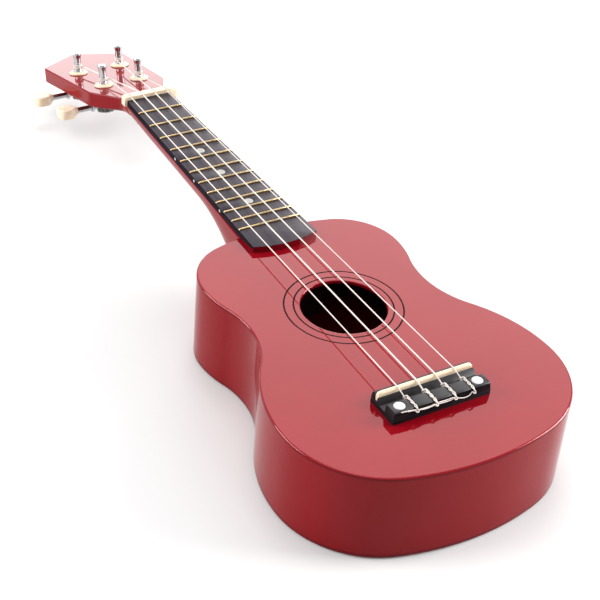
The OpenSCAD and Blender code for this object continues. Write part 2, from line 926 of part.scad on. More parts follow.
module post(i) {
    color("#c9ccd0")
    at_post(POSTS[i])
        difference() {
            rotate_extrude()
                polygon([[0, worm_h - gear_t / 2], [spigot_r, worm_h - gear_t / 2],
                    [spigot_r, worm_h + gear_t / 2], [post_r, worm_h + gear_t / 2],
                    [post_r, 2], [post_waist_r, 3.2], [post_waist_r, post_h - 3.4],
                    [3.1, post_h - 1.6], [3.1, post_h - 0.5], [2.7, post_h], [0, post_h]]);
            translate([0, 0, worm_h - gear_t / 2 - 1])
                cylinder(r = 1.22, h = 6);
            translate([-5, 0, 8])
                rotate([0, 90, 0])
                    cylinder(r = 0.8, h = 10);
        }
}

// Wheel outline: each tooth has a root, two flanks and a flat tip, and the first points at +Y
function gear_outline() = [for (k = [0 : gear_teeth - 1])
    let (step = 360 / gear_teeth, a = 90 + k * step)
    each [for (p = [[gear_root_r, -6.6], [gear_tip_r, -3.2], [gear_tip_r, 3.2], [gear_root_r, 6.6]])
        p[0] * [cos(a + p[1]), sin(a + p[1])]]];

module gear(i) {
    color("#a9a69e")
    at_post(POSTS[i])
        difference() {
            translate([0, 0, worm_h - gear_t / 2])
                linear_extrude(gear_t)
                    polygon(gear_outline());
            translate([0, 0, worm_h - gear_t])
                cylinder(r = spigot_r + 0.02, h = 2 * gear_t);
        }
}

module gear_screw(i) {
    top = worm_h - gear_t / 2;
    color("#b9bdc2")
    at_post(POSTS[i])
        difference() {
            rotate_extrude()
                polygon([[0, top + 4.5], [1.2, top + 4.5], [1.2, top], [2.9, top],
                    [2.8, top - 0.8], [1.9, top - 1.3], [0, top - 1.4]]);
            cross_slot(top - 1.5);
        }
}

// ---------------------------------------------------------------- nodes

soundboard();
back_plate();
rib(-1);  // rib_bass
rib(1);  // rib_treble
lining(inner_high - lining_h);  // lining_top
lining(inner_low);  // lining_back
neck_block();
tail_block();
braces([107, 184], inner_high - brace_h);  // top_braces
braces([60, 130], inner_low);  // back_braces
bridge_plate();
rosette_inner();
rosette_outer();
neck();
neck_dowels();
fingerboard();
frets();
position_dots();
side_dots();
nut();
bridge();
saddle();
bridge_bolts();
bridge_nuts();
bridge_caps();
bushings();
plate_screws();
for (i = [0 : 3]) {
    string(i);
    tuner_plate(i);
    worm_shaft(i);
    button(i);
    post(i);
    gear(i);
    gear_screw(i);
    winding(i);
}
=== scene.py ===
"""Looks of a small red soprano ukulele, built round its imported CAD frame.

Shapes are worked out in millimetres in the part's frame: +X is the treble side, +Y the
headstock and +Z up. solid() turns them into metres and makes each piece ride on its body.
"""

import json
import math

import bmesh
import bpy
import numpy as np
from mathutils import Matrix, Vector


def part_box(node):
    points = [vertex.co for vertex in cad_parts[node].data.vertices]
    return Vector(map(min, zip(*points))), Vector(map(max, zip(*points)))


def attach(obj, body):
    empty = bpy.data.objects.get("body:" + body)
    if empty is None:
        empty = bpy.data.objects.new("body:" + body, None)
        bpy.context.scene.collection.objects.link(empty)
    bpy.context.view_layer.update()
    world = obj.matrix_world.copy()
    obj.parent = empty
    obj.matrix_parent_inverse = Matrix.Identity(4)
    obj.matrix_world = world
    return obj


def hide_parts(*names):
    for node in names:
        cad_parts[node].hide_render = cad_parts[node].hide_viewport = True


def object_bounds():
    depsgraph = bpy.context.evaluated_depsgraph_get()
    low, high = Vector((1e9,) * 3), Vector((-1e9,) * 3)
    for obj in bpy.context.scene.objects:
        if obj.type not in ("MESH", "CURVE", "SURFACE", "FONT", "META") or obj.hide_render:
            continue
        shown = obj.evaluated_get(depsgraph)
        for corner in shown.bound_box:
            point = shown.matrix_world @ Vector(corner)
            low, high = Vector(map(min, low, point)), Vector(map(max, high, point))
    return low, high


MM = 0.001
COURSES = ("g", "c", "e", "a")
BODY = "ukulele"

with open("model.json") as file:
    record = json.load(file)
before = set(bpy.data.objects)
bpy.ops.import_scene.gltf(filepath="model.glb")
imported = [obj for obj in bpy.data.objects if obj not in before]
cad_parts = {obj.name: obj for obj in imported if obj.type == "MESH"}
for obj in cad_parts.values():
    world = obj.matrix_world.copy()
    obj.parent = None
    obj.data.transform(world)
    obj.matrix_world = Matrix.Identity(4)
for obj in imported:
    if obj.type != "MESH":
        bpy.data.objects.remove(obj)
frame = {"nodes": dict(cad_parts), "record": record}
nodes = frame["nodes"]
cad_box = [list(corner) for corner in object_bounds()]


def box_mm(node):
    """Lowest and highest corners of a CAD node, in millimetres."""
    low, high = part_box(node)
    return np.array(low) / MM, np.array(high) / MM


# ---------------------------------------------------------------- camera and light

CAMERA_AT = Vector((-0.42483, -0.72592, 0.59648))
CAMERA_AZIMUTH, CAMERA_ELEVATION, CAMERA_ROLL = (math.radians(a) for a in (-33.19, 36.11, 5.25))
CAMERA_LENS = 93.81


def add_camera():
    """Camera at its fitted place and angles. Azimuth 0 is -Y and 90 is +X."""
    a, e, roll = CAMERA_AZIMUTH, CAMERA_ELEVATION, CAMERA_ROLL
    back = Vector((math.sin(a) * math.cos(e), -math.cos(a) * math.cos(e), math.sin(e)))
    right = (-back).cross(Vector((0, 0, 1))).normalized()
    up = right.cross(-back)
    side = right * math.cos(roll) + up * math.sin(roll)
    top = up * math.cos(roll) - right * math.sin(roll)
    data = bpy.data.cameras.new("camera")
    data.lens = CAMERA_LENS
    data.sensor_width = 36
    camera = bpy.data.objects.new("camera", data)
    turned = Matrix((side, top, back)).transposed().to_4x4()
    camera.matrix_world = Matrix.Translation(CAMERA_AT) @ turned
    bpy.context.scene.collection.objects.link(camera)
    bpy.context.scene.camera = camera


def softbox(name, azimuth, elevation, distance, size, radiance):
    """Rectangular light that faces the origin. Azimuth 0 is +Y and 90 is +X, in degrees."""
    a, e = math.radians(azimuth), math.radians(elevation)
    place = Vector((math.sin(a) * math.cos(e), math.cos(a) * math.cos(e), math.sin(e)))
    data = bpy.data.lights.new(name, "AREA")
    data.shape = "RECTANGLE"
    data.size, data.size_y = size
    data.energy = radiance * math.pi * size[0] * size[1]
    light = bpy.data.objects.new(name, data)
    light.location = place * distance
    light.rotation_mode = "QUATERNION"
    light.rotation_quaternion = place.to_track_quat("Z", "Y")
    light.visible_camera = False
    bpy.context.scene.collection.objects.link(light)


def add_lights():
    """White surroundings and five softboxes."""
    world = bpy.data.worlds.new("studio")
    world.use_nodes = True
    world.node_tree.nodes["Background"].inputs["Color"].default_value = (1, 1, 1, 1)
    world.node_tree.nodes["Background"].inputs["Strength"].default_value = 0.8
    scene = bpy.context.scene
    scene.world = world
    scene.view_settings.view_transform = "Standard"
    softbox("softbox_behind", 33, 28, 3.2, (2.0, 3.1), 1.9)
    softbox("softbox_above", 10, 80, 2.6, (1.2, 1.2), 4)
    softbox("softbox_low", 27, 7, 3.6, (2.6, 0.8), 1.5)
    softbox("softbox_left", -62, 22, 3.0, (1.8, 1.8), 11.5)
    softbox("softbox_right", 112, 22, 3.0, (1.8, 1.8), 17)


# ---------------------------------------------------------------- materials


def new_material(name, colour, roughness, metallic=0.0, **sockets):
    """Material with one Principled shader. Keyword names are its socket names with underscores."""
    made = bpy.data.materials.new(name)
    made.use_nodes = True
    shader = made.node_tree.nodes["Principled BSDF"]
    shader.inputs["Base Color"].default_value = (*colour, 1)
    shader.inputs["Roughness"].default_value = roughness
    shader.inputs["Metallic"].default_value = metallic
    for key, value in sockets.items():
        shader.inputs[key.replace("_", " ")].default_value = value
    return made


def noise(made, scale, stretch=(1, 1, 1), detail=3.0, distortion=0.0):
    """Noise over the piece's own coordinates, in features per metre along each axis."""
    tree = made.node_tree
    place = tree.nodes.new("ShaderNodeTexCoord")
    mapping = tree.nodes.new("ShaderNodeMapping")
    mapping.inputs["Scale"].default_value = stretch
    texture = tree.nodes.new("ShaderNodeTexNoise")
    texture.inputs["Scale"].default_value = scale
    texture.inputs["Detail"].default_value = detail
    texture.inputs["Distortion"].default_value = distortion
    tree.links.new(place.outputs["Object"], mapping.inputs["Vector"])
    tree.links.new(mapping.outputs["Vector"], texture.inputs["Vector"])
    return texture.outputs["Fac"]


def ramp(made, source, *stops):
    """Colours between the given (position, colour) stops."""
    node = made.node_tree.nodes.new("ShaderNodeValToRGB")
    elements = node.color_ramp.elements
    for i, (at, colour) in enumerate(stops):
        element = elements[i] if i < 2 else elements.new(at)
        element.position = at
        element.color = (*colour, 1)
    made.node_tree.links.new(source, node.inputs["Fac"])
    return node.outputs["Color"]


def drive(made, socket, source):
    """Link a source to a socket of the shader."""
    made.node_tree.links.new(source, made.node_tree.nodes["Principled BSDF"].inputs[socket])


def ranged(made, source, low, high):
    """A source whose values from 0.3 to 0.7 are spread between low and high."""
    node = made.node_tree.nodes.new("ShaderNodeMapRange")
    node.inputs["From Min"].default_value = 0.3
    node.inputs["From Max"].default_value = 0.7
    node.inputs["To Min"].default_value = low
    node.inputs["To Max"].default_value = high
    made.node_tree.links.new(source, node.inputs["Value"])
    return node.outputs["Result"]


def drive_range(made, socket, source, low, high):
    """Link a source, spread between low and high, to a socket of the shader."""
    drive(made, socket, ranged(made, source, low, high))


def upward(made, low, high):
    """Low on walls and high on faces that look up, by the piece's own normals."""
    tree = made.node_tree
    place = tree.nodes.new("ShaderNodeTexCoord")
    split = tree.nodes.new("ShaderNodeSeparateXYZ")
    tree.links.new(place.outputs["Normal"], split.inputs["Vector"])
    return ranged(made, split.outputs["Z"], low, high)


def bump(made, source, height, *sockets, under=None):
    """Relief of the given height in metres, on top of another bump if one is given."""
    node = made.node_tree.nodes.new("ShaderNodeBump")
    node.inputs["Distance"].default_value = height
    made.node_tree.links.new(source, node.inputs["Height"])
    if under is not None:
        made.node_tree.links.new(under, node.inputs["Normal"])
    for socket in sockets or ("Normal",):
        drive(made, socket, node.outputs["Normal"])
    return node.outputs["Normal"]


def lacquer():
    """Deep red under thick clear coat: faint colour drift, painted shade that darkens the red on
    walls, slow waves and a fine orange peel.
    """
    made = new_material("red_lacquer", (0.18, 0.002, 0.006), 0.02, Specular_IOR_Level=0.26,
        Specular_Tint=(1, 0.1, 0.11, 1), Coat_Weight=1.0, Coat_Roughness=0.0, Coat_IOR=1.34)
    drift = ramp(made, noise(made, 22, detail=5),
        (0.3, (0.17, 0.0015, 0.005)), (0.7, (0.19, 0.003, 0.008)))
    # Painted shade: walls get a darker red than faces that look up, by the piece's own normals.
    tone = made.node_tree.nodes.new("ShaderNodeMix")
    tone.data_type = "RGBA"
    tone.inputs["A"].default_value = (0.115, 0.0015, 0.004, 1)
    made.node_tree.links.new(drift, tone.inputs["B"])
    made.node_tree.links.new(upward(made, 0, 1), tone.inputs["Factor"])
    drive(made, "Base Color", tone.outputs["Result"])
    drive(made, "Specular IOR Level", upward(made, 0.0, 0.26))
    drive(made, "Coat IOR", upward(made, 1.22, 1.34))
    drive(made, "Coat Roughness", upward(made, 0.08, 0.0))
    waves = bump(made, noise(made, 24, detail=1), 0.000012, "Normal", "Coat Normal")
    bump(made, noise(made, 700, detail=1), 0.0000007, "Normal", "Coat Normal", under=waves)
    return made


def side_lacquer():
    """The same red on ribs and neck, rubbed down: a softer, thinner gloss over faint flame."""
    made = new_material("side_lacquer", (0.16, 0.002, 0.005), 0.42, Specular_IOR_Level=0.0,
        Coat_Weight=1.0, Coat_Roughness=0.06, Coat_IOR=1.24)
    drive(made, "Base Color", ramp(made, noise(made, 30, (1, 1, 0.25), 5),
        (0.3, (0.16, 0.0015, 0.004)), (0.7, (0.18, 0.003, 0.006))))
    waves = bump(made, noise(made, 16, (1, 1, 0.2), detail=1), 0.00008, "Normal", "Coat Normal")
    bump(made, noise(made, 500, detail=1), 0.000001, "Normal", "Coat Normal", under=waves)
    return made


def dark_wood():
    """Inside of the sound box: very dark brown over straight grain."""
    made = new_material("bare_wood", (0.03, 0.012, 0.008), 0.7)
    drive(made, "Base Color", ramp(made, noise(made, 60, (6, 0.4, 6), 6, 0.6),
        (0.3, (0.016, 0.005, 0.004)), (0.7, (0.045, 0.018, 0.011))))
    bump(made, noise(made, 60, (8, 0.4, 8), 6), 0.0002)
    return made


def board_wood():
    """Black-stained fingerboard with fine grain along its length."""
    made = new_material("board_black", (0.02, 0.016, 0.022), 0.4, Specular_IOR_Level=0.4,
        Specular_Tint=(1, 0.86, 1, 1))
    grain = noise(made, 70, (14, 0.7, 14), 8, 0.4)
    drive(made, "Base Color", ramp(made, grain, (0.3, (0.008, 0.007, 0.009)),
        (0.62, (0.018, 0.014, 0.02)), (0.8, (0.035, 0.028, 0.038))))
    drive_range(made, "Roughness", grain, 0.3, 0.46)
    drive(made, "Specular IOR Level", upward(made, 0.0, 0.31))
    bump(made, grain, 0.00004)
    return made


def bridge_wood():
    """Black satin wood with pores across the bridge's length."""
    made = new_material("bridge_black", (0.008, 0.006, 0.007), 0.34, Specular_IOR_Level=0.3)
    grain = noise(made, 80, (0.7, 16, 12), 7, 0.3)
    drive(made, "Base Color", ramp(made, grain, (0.3, (0.004, 0.003, 0.004)),
        (0.7, (0.014, 0.011, 0.013))))
    drive_range(made, "Roughness", grain, 0.3, 0.42)
    drive(made, "Specular IOR Level", upward(made, 0.04, 0.42))
    bump(made, grain, 0.00003)
    return made


def cream_plastic():
    """Cream plastic of buttons, bushings, nut and saddle, with slight depth."""
    made = new_material("cream_plastic", (0.66, 0.53, 0.38), 0.3, Subsurface_Weight=0.25,
        Subsurface_Radius=(0.004, 0.002, 0.001), Subsurface_Scale=0.5)
    patches = noise(made, 90, detail=4)
    drive(made, "Base Color", ramp(made, patches,
        (0.3, (0.64, 0.5, 0.36)), (0.7, (0.69, 0.56, 0.41))))
    drive_range(made, "Roughness", noise(made, 400, detail=3), 0.22, 0.36)
    bump(made, noise(made, 900, detail=2), 0.000008)
    return made


def cap_plastic():
    """White caps over the bridge bolts."""
    made = new_material("cap_white", (0.86, 0.86, 0.85), 0.3)
    drive(made, "Base Color", ramp(made, noise(made, 300, detail=4),
        (0.35, (0.41, 0.41, 0.43)), (0.6, (0.5, 0.5, 0.52))))
    bump(made, noise(made, 1500, detail=2), 0.00001)
    return made


def pearl():
    """Pale tones of the position and side dots, swirled into each other."""
    made = new_material("pearl", (0.33, 0.32, 0.3), 0.3, Specular_IOR_Level=0.3)
    drive(made, "Base Color", ramp(made, noise(made, 420, (1, 0.5, 1), 5, 2.5),
        (0.35, (0.27, 0.28, 0.28)), (0.5, (0.36, 0.35, 0.32)), (0.68, (0.32, 0.3, 0.27))))
    return made


def nylon():
    """Pale nylon whose tone drifts in long streaks."""
    made = new_material("nylon", (0.58, 0.52, 0.48), 0.34, Specular_IOR_Level=0.3)
    drive(made, "Base Color", ramp(made, noise(made, 500, (1, 0.2, 1), 2),
        (0.3, (0.53, 0.47, 0.43)), (0.7, (0.62, 0.57, 0.53))))
    drive_range(made, "Roughness", noise(made, 900), 0.28, 0.42)
    return made


def metal(name, colour, rough_low, rough_high, brushed=(1, 1, 1)):
    """Plated metal whose gloss varies in faint brushed patches."""
    made = new_material(name, colour, rough_low, 1.0)
    patches = noise(made, 260, brushed, 5)
    shade = tuple(c * 0.9 for c in colour)
    drive(made, "Base Color", ramp(made, patches, (0.3, shade), (0.7, colour)))
    drive_range(made, "Roughness", patches, rough_low, rough_high)
    bump(made, patches, 0.0000004)
    return made


def ring_black():
    """Dull black of the two rings round the sound hole."""
    made = new_material("rosette_black", (0.014, 0.004, 0.004), 0.6, Specular_IOR_Level=0.04)
    drive(made, "Base Color", ramp(made, noise(made, 800, detail=3),
        (0.3, (0.008, 0.002, 0.002)), (0.7, (0.022, 0.006, 0.006))))
    return made


def make_materials():
    """Every material by slot, put on the CAD nodes as well."""
    made = {
        "red_lacquer": lacquer(),
        "side_lacquer": side_lacquer(),
        "bare_wood": dark_wood(),
        "rosette_black": ring_black(),
        "board_black": board_wood(),
        "fret_brass": metal("fret_brass", (0.6, 0.44, 0.23), 0.14, 0.22),
        "pearl": pearl(),
        "cream_plastic": cream_plastic(),
        "bridge_black": bridge_wood(),
        "screw_steel": metal("screw_steel", (0.72, 0.72, 0.74), 0.12, 0.3),
        "cap_white": cap_plastic(),
        "nylon": nylon(),
        "plate_chrome": metal("plate_chrome", (0.5, 0.5, 0.52), 0.08, 0.2, (1, 0.2, 1)),
        "shaft_chrome": metal("shaft_chrome", (0.42, 0.42, 0.43), 0.08, 0.2),
        "post_chrome": metal("post_chrome", (0.46, 0.46, 0.48), 0.04, 0.12),
        "gear_steel": metal("gear_steel", (0.13, 0.125, 0.12), 0.26, 0.4),
    }
    for row in frame["record"]["subparts"]:
        mesh = nodes[row["node"]].data
        mesh.materials.clear()
        mesh.materials.append(made[row["material_slot"]])
    return made


# ---------------------------------------------------------------- mesh tools


def solid(name, points, faces, slot, body, replaced, sharp=32.0):
    """A new piece from points in millimetres, shaded smooth except at sharp edges."""
    mesh = bpy.data.meshes.new(name)
    mesh.from_pydata([tuple(float(c) * MM for c in p) for p in points], [], faces)
    mesh.validate()
    tidy = bmesh.new()
    tidy.from_mesh(mesh)
    bmesh.ops.remove_doubles(tidy, verts=tidy.verts, dist=1e-7)
    bmesh.ops.recalc_face_normals(tidy, faces=tidy.faces)
    tidy.to_mesh(mesh)
    tidy.free()
    return finished(name, mesh, slot, body, replaced, sharp)


def finished(name, mesh, slot, body, replaced, sharp):
    """Piece from a mesh, with its material, its shading and its body."""
    mesh.materials.clear()
    mesh.materials.append(materials[slot])
    mesh.shade_smooth()
    mesh.set_sharp_from_angle(angle=math.radians(sharp))
    made = bpy.data.objects.new(name, mesh)
    bpy.context.scene.collection.objects.link(made)
    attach(made, body)
    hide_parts(*replaced)
    return made


def bridge_rings(rings, closed_loop=False):
    """Points and faces of a skin over rings of equal size. A closed loop joins last to first."""
    size, count = len(rings[0]), len(rings)
    points = [p for ring in rings for p in ring]
    steps = count if closed_loop else count - 1
    faces = [
        (k * size + i, k * size + (i + 1) % size,
         (k + 1) % count * size + (i + 1) % size, (k + 1) % count * size + i)
        for k in range(steps) for i in range(size)
    ]
    if not closed_loop:
        faces.append(tuple(range(size))[::-1])
        faces.append(tuple((count - 1) * size + i for i in range(size)))
    return points, faces


def round_corner(r, steps=6):
    """Inset and drop of points round a quarter circle, from the flat face to the wall."""
    angles = [math.pi / 2 * i / steps for i in range(steps + 1)]
    return [(r - r * math.sin(a), r - r * math.cos(a)) for a in angles]


def softened(node, slot, width, body, segments=3, limit=28.0):
    """A copy of a CAD solid with clean flat faces and every hard edge slightly rounded."""
    shape = bmesh.new()
    shape.from_mesh(nodes[node].data)
    bmesh.ops.remove_doubles(shape, verts=shape.verts, dist=2e-6)
    bmesh.ops.dissolve_limit(shape, angle_limit=math.radians(0.6), verts=shape.verts,
        edges=shape.edges)
    mesh = bpy.data.meshes.new(node + "_finish")
    shape.to_mesh(mesh)
    shape.free()
    made = finished(node + "_finish", mesh, slot, body, [node], 180)
    rounding = made.modifiers.new("edge", "BEVEL")
    rounding.width = width * MM
    rounding.segments = segments
    rounding.limit_method = "ANGLE"
    rounding.angle_limit = math.radians(limit)
    rounding.harden_normals = True
    rounding.use_clamp_overlap = True
    return made


def smooth_path(points, step):
    """Catmull-Rom curve through the points, sampled about every step millimetres."""
    knots = [np.array(p, float) for p in points]
    ends = [2 * knots[0] - knots[1], *knots, 2 * knots[-1] - knots[-2]]
    path = []
    for a, b, c, d in zip(ends, ends[1:], ends[2:], ends[3:]):
        count = max(1, round(float(np.linalg.norm(c - b)) / step))
        for t in np.arange(count) / count:
            path.append(0.5 * (2 * b + (c - a) * t + (2 * a - 5 * b + 4 * c - d) * t**2
                + (3 * b - a - 3 * c + d) * t**3))
    return [*path, knots[-1]]


def tube(path, radius, sides=12):
    """Rings round a path, turned as little as possible from one to the next, with round ends."""
    path = [np.array(p, float) for p in path]
    tangents = [path[min(i + 1, len(path) - 1)] - path[max(i - 1, 0)] for i in range(len(path))]
    tangents = [t / np.linalg.norm(t) for t in tangents]
    normal = np.cross(tangents[0], [0.31, 0.17, 0.93])
    rings = []
    last = len(path) - 1
    for i, (p, t) in enumerate(zip(path, tangents)):
        normal = normal - t * np.dot(normal, t)
        normal /= np.linalg.norm(normal)
        side = np.cross(t, normal)
        circle = [normal * math.cos(a) + side * math.sin(a)
            for a in np.arange(sides) * 2 * math.pi / sides]
        caps = [(0.35, 0.9), (0.75, 0.6), (1, 0)]
        if i == 0:
            rings += [[p + radius * (c * s - t * b) for c in circle] for s, b in caps[:2]]
        rings.append([p + radius * c for c in circle])
        if i == last:
            rings += [[p + radius * (c * s + t * b) for c in circle] for s, b in caps[1::-1]]
    return rings


def join_parts(*parts):
    """One list of points and one of faces from several."""
    points, faces = [], []
    for some_points, some_faces in parts:
        faces += [tuple(i + len(points) for i in face) for face in some_faces]
        points += list(some_points)
    return points, faces


# ---------------------------------------------------------------- sound box

TAIL_Y, TOP_Z = box_mm("soundboard")[0][1], box_mm("soundboard")[1][2]
BACK_T = box_mm("back_plate")[1][2]
TOP_T = TOP_Z - box_mm("soundboard")[0][2]
JOINT_Y = box_mm("soundboard")[1][1]
LOWER_HALF = box_mm("soundboard")[1][0]
HOLE_Y = (box_mm("rosette_inner")[0][1] + box_mm("rosette_inner")[1][1]) / 2
BODY_LEN = JOINT_Y - TAIL_Y
LOWER_AT, LOWER_RADIUS = 64.2, 60.0
WAIST_HALF, WAIST_AT = 60.4, 153.0
UPPER_HALF, UPPER_AT = 67.4, 195.0
SHOULDER_RADIUS = 37.5
RIB_T = 2.6
HOLE_R = 25.75
RING_W, RING_DEPTH = 1.0, 0.5
EDGE_R, BACK_EDGE_R = 1.1, 1.6
ARC_STEPS = 44


def arc(centre, radius, start, end):
    """Points of an arc without its last one; angles in degrees."""
    angles = np.radians(start + (end - start) * np.arange(ARC_STEPS) / ARC_STEPS)
    return [(centre[0] + radius * math.cos(a), centre[1] + radius * math.sin(a)) for a in angles]


def half_outline(inset):
    """Treble half of the sound box's outline from tail to head, moved inwards: smooth arcs."""
    side_x = LOWER_HALF - LOWER_RADIUS
    tail_radius = (side_x**2 + LOWER_AT**2 - LOWER_RADIUS**2) / (2 * (LOWER_AT - LOWER_RADIUS))
    lower_sum = ((LOWER_HALF - WAIST_HALF) ** 2 + (WAIST_AT - LOWER_AT) ** 2) / (
        2 * (LOWER_HALF - WAIST_HALF))
    upper_sum = ((UPPER_HALF - WAIST_HALF) ** 2 + (UPPER_AT - WAIST_AT) ** 2) / (
        2 * (UPPER_HALF - WAIST_HALF))
    lower_convex, upper_convex = 0.62 * lower_sum, 0.51 * upper_sum
    lower_concave, upper_concave = lower_sum - lower_convex, upper_sum - upper_convex
    shoulder_x, rise = UPPER_HALF - SHOULDER_RADIUS, BODY_LEN - UPPER_AT
    head_radius = (shoulder_x**2 + rise**2 - SHOULDER_RADIUS**2) / (2 * (rise - SHOULDER_RADIUS))
    tail_end = math.degrees(math.atan2(LOWER_AT - tail_radius, side_x))
    lower_turn = math.degrees(math.atan2(WAIST_AT - LOWER_AT, lower_sum - LOWER_HALF + WAIST_HALF))
    upper_turn = math.degrees(math.atan2(UPPER_AT - WAIST_AT, upper_sum - UPPER_HALF + WAIST_HALF))
    shoulder_end = math.degrees(math.atan2(UPPER_AT - BODY_LEN + head_radius, shoulder_x))
    points = [
        *arc((0, tail_radius), tail_radius - inset, -90, tail_end),
        *arc((side_x, LOWER_AT), LOWER_RADIUS - inset, tail_end, 0),
        *arc((LOWER_HALF - lower_convex, LOWER_AT), lower_convex - inset, 0, lower_turn),
        *arc((WAIST_HALF + lower_concave, WAIST_AT), lower_concave + inset, 180 + lower_turn, 180),
        *arc((WAIST_HALF + upper_concave, WAIST_AT), upper_concave + inset, 180, 180 - upper_turn),
        *arc((UPPER_HALF - upper_convex, UPPER_AT), upper_convex - inset, -upper_turn, 0),
        *arc((shoulder_x, UPPER_AT), SHOULDER_RADIUS - inset, 0, shoulder_end),
        *arc((0, BODY_LEN - head_radius), head_radius - inset, shoulder_end, 90),
        (0, BODY_LEN - inset),
    ]
    return [(x, y + TAIL_Y) for x, y in points]


def outline(inset, z):
    """Closed outline of the sound box at one height, moved inwards."""
    half = half_outline(inset)
    return [(x, y, z) for x, y in [*half, *[(-x, y) for x, y in half[-2:0:-1]]]]


def hole_circle(radius, z):
    """Circle round the sound hole with one point towards each point of the outline."""
    circle = []
    for x, y, _ in outline(0, 0):
        away = math.hypot(x, y - HOLE_Y)
        circle.append((radius * x / away, HOLE_Y + radius * (y - HOLE_Y) / away, z))
    return circle


def plate_edge(face_z, way, thickness, radius):
    """Rings over a plate's rounded edge, from its flat face to its inner side."""
    support = [outline(radius + 0.12, face_z)]
    corner = [outline(inset, face_z + way * drop) for inset, drop in round_corner(radius)]
    return support + corner + [outline(0, face_z + way * thickness)]


def make_soundboard():
    """Top with its sound hole, ring channels and rounded edges."""
    rings = [hole_circle(HOLE_R, TOP_Z - TOP_T)]
    rings += [hole_circle(HOLE_R + inset, TOP_Z - drop) for inset, drop in round_corner(0.7)[::-1]]
    rings.append(hole_circle(HOLE_R + 0.85, TOP_Z))
    for ring in ("rosette_inner", "rosette_outer"):
        low, high = box_mm(ring)
        outer = (high[0] - low[0]) / 2
        inner = outer - RING_W
        rings += [hole_circle(inner, TOP_Z), hole_circle(inner, TOP_Z - RING_DEPTH)]
        rings += [hole_circle(outer, TOP_Z - RING_DEPTH), hole_circle(outer, TOP_Z)]
    rings += plate_edge(TOP_Z, -1, TOP_T, EDGE_R)
    rings.append(outline(RIB_T + 1, TOP_Z - TOP_T))
    points, faces = bridge_rings(rings, closed_loop=True)
    solid("soundboard_finish", points, faces, "red_lacquer", BODY, ["soundboard"])


def make_back():
    """Flat back with a rounded edge."""
    rings = [[(x * 0.5, HOLE_Y + (y - HOLE_Y) * 0.5, 0) for x, y, _ in outline(0, 0)]]
    rings += plate_edge(0, 1, BACK_T, BACK_EDGE_R)
    rings.append(outline(RIB_T + 1, BACK_T))
    points, faces = bridge_rings(rings)
    solid("back_finish", points, faces, "red_lacquer", BODY, ["back_plate"])


def make_rib(name, side):
    """Bent side from the tail's middle to the head's middle."""
    outer, inner = half_outline(0), half_outline(RIB_T)
    low, high = BACK_T, TOP_Z - TOP_T
    rings = [
        [(side * x, y, z) for (x, y), z in ((a, low), (a, high), (b, high), (b, low))]
        for a, b in zip(outer, inner)
    ]
    points, faces = bridge_rings(rings)
    solid(name + "_finish", points, faces, "side_lacquer", BODY, [name])


# ---------------------------------------------------------------- neck and headstock

NUT_Y = box_mm("fingerboard")[1][1]
BOARD_TOP = box_mm("fingerboard")[1][2]
NUT_T = 5.0
SCALE = 345.0
HEAD_ANGLE = math.radians(13)
HEAD_LEN, HEAD_T = 130.5, 10.5
FRET_H, HEAD_DROP = 1.1, 3.1
HEAD_Z = BOARD_TOP + FRET_H - HEAD_DROP
NUT_HALF, TWELFTH_HALF = 16.25, 21.7
DEPTH_NUT, DEPTH_HEEL, HEEL_DEPTH, HEEL_LEN, HEEL_POWER = 13.0, 16.0, 50.0, 62.0, 2.1
HEAD_DIR = np.array([0, math.cos(HEAD_ANGLE), -math.sin(HEAD_ANGLE)])
HEAD_UP = np.array([0, math.sin(HEAD_ANGLE), math.cos(HEAD_ANGLE)])
HEAD_AT = np.array([0, NUT_Y + NUT_T, HEAD_Z])
HEAD_NEAR_HALF, HEAD_FAR_HALF = 29.2, 32.3
# Half width, distance along the headstock and rounding of each corner
HEAD_CORNERS = [(NUT_HALF, 0, 0), (NUT_HALF, 5, 14), (HEAD_NEAR_HALF, 0.25 * HEAD_LEN, 10),
    (HEAD_FAR_HALF, 0.832 * HEAD_LEN, 2.5), (0, HEAD_LEN, 0)]


def on_head(x, along, up):
    """A place given on the headstock's face, in the part's frame."""
    return np.array([x, 0, 0]) + HEAD_AT + HEAD_DIR * along + HEAD_UP * up


def blend(a, b, t):
    """From a to b as t goes from 0 to 1, slow at both ends."""
    t = min(1.0, max(0.0, t))
    t = t * t * (3 - 2 * t)
    return a + (b - a) * t


def rounded_corner(before, corner, after, r, steps=12):
    """Points of the arc that rounds a corner between two straight runs."""
    before, corner, after = (np.array(p, float) for p in (before, corner, after))
    u = (before - corner) / np.linalg.norm(before - corner)
    v = (after - corner) / np.linalg.norm(after - corner)
    half = math.acos(float(np.dot(u, v))) / 2
    centre = corner + (u + v) / np.linalg.norm(u + v) * r / math.sin(half)
    start = corner + u * r / math.tan(half) - centre
    end = corner + v * r / math.tan(half) - centre
    turn = math.atan2(start[0] * end[1] - start[1] * end[0], float(np.dot(start, end)))
    a0 = math.atan2(start[1], start[0])
    angles = [a0 + turn * i / steps for i in range(steps + 1)]
    return [tuple(centre + r * np.array([math.cos(a), math.sin(a)])) for a in angles]


def head_outline():
    """Half widths of the headstock and how far along it they are, from the nut to the tip."""
    corners = [(x, v) for x, v, _ in HEAD_CORNERS]
    points = [corners[0]]
    for i in (1, 2, 3):
        points += rounded_corner(corners[i - 1], corners[i], corners[i + 1], HEAD_CORNERS[i][2])
    return [*points, corners[-1]]


def slab_half(width, depth, top_r, low_r):
    """Right half of a rounded slab's section, from its top middle to its bottom middle."""
    points = [(x, 0) for x in np.linspace(0, width - top_r - 0.12, 4)]
    points += [(width - i, -d) for i, d in round_corner(top_r, 5)]
    points += [(width, -z) for z in np.linspace(top_r, depth - low_r, 5)[1:-1]]
    points += [(width - i, d - depth) for i, d in round_corner(low_r, 9)[::-1]]
    points += [(x, -depth) for x in np.linspace(width - low_r - 0.12, 0, 18)]
    return points


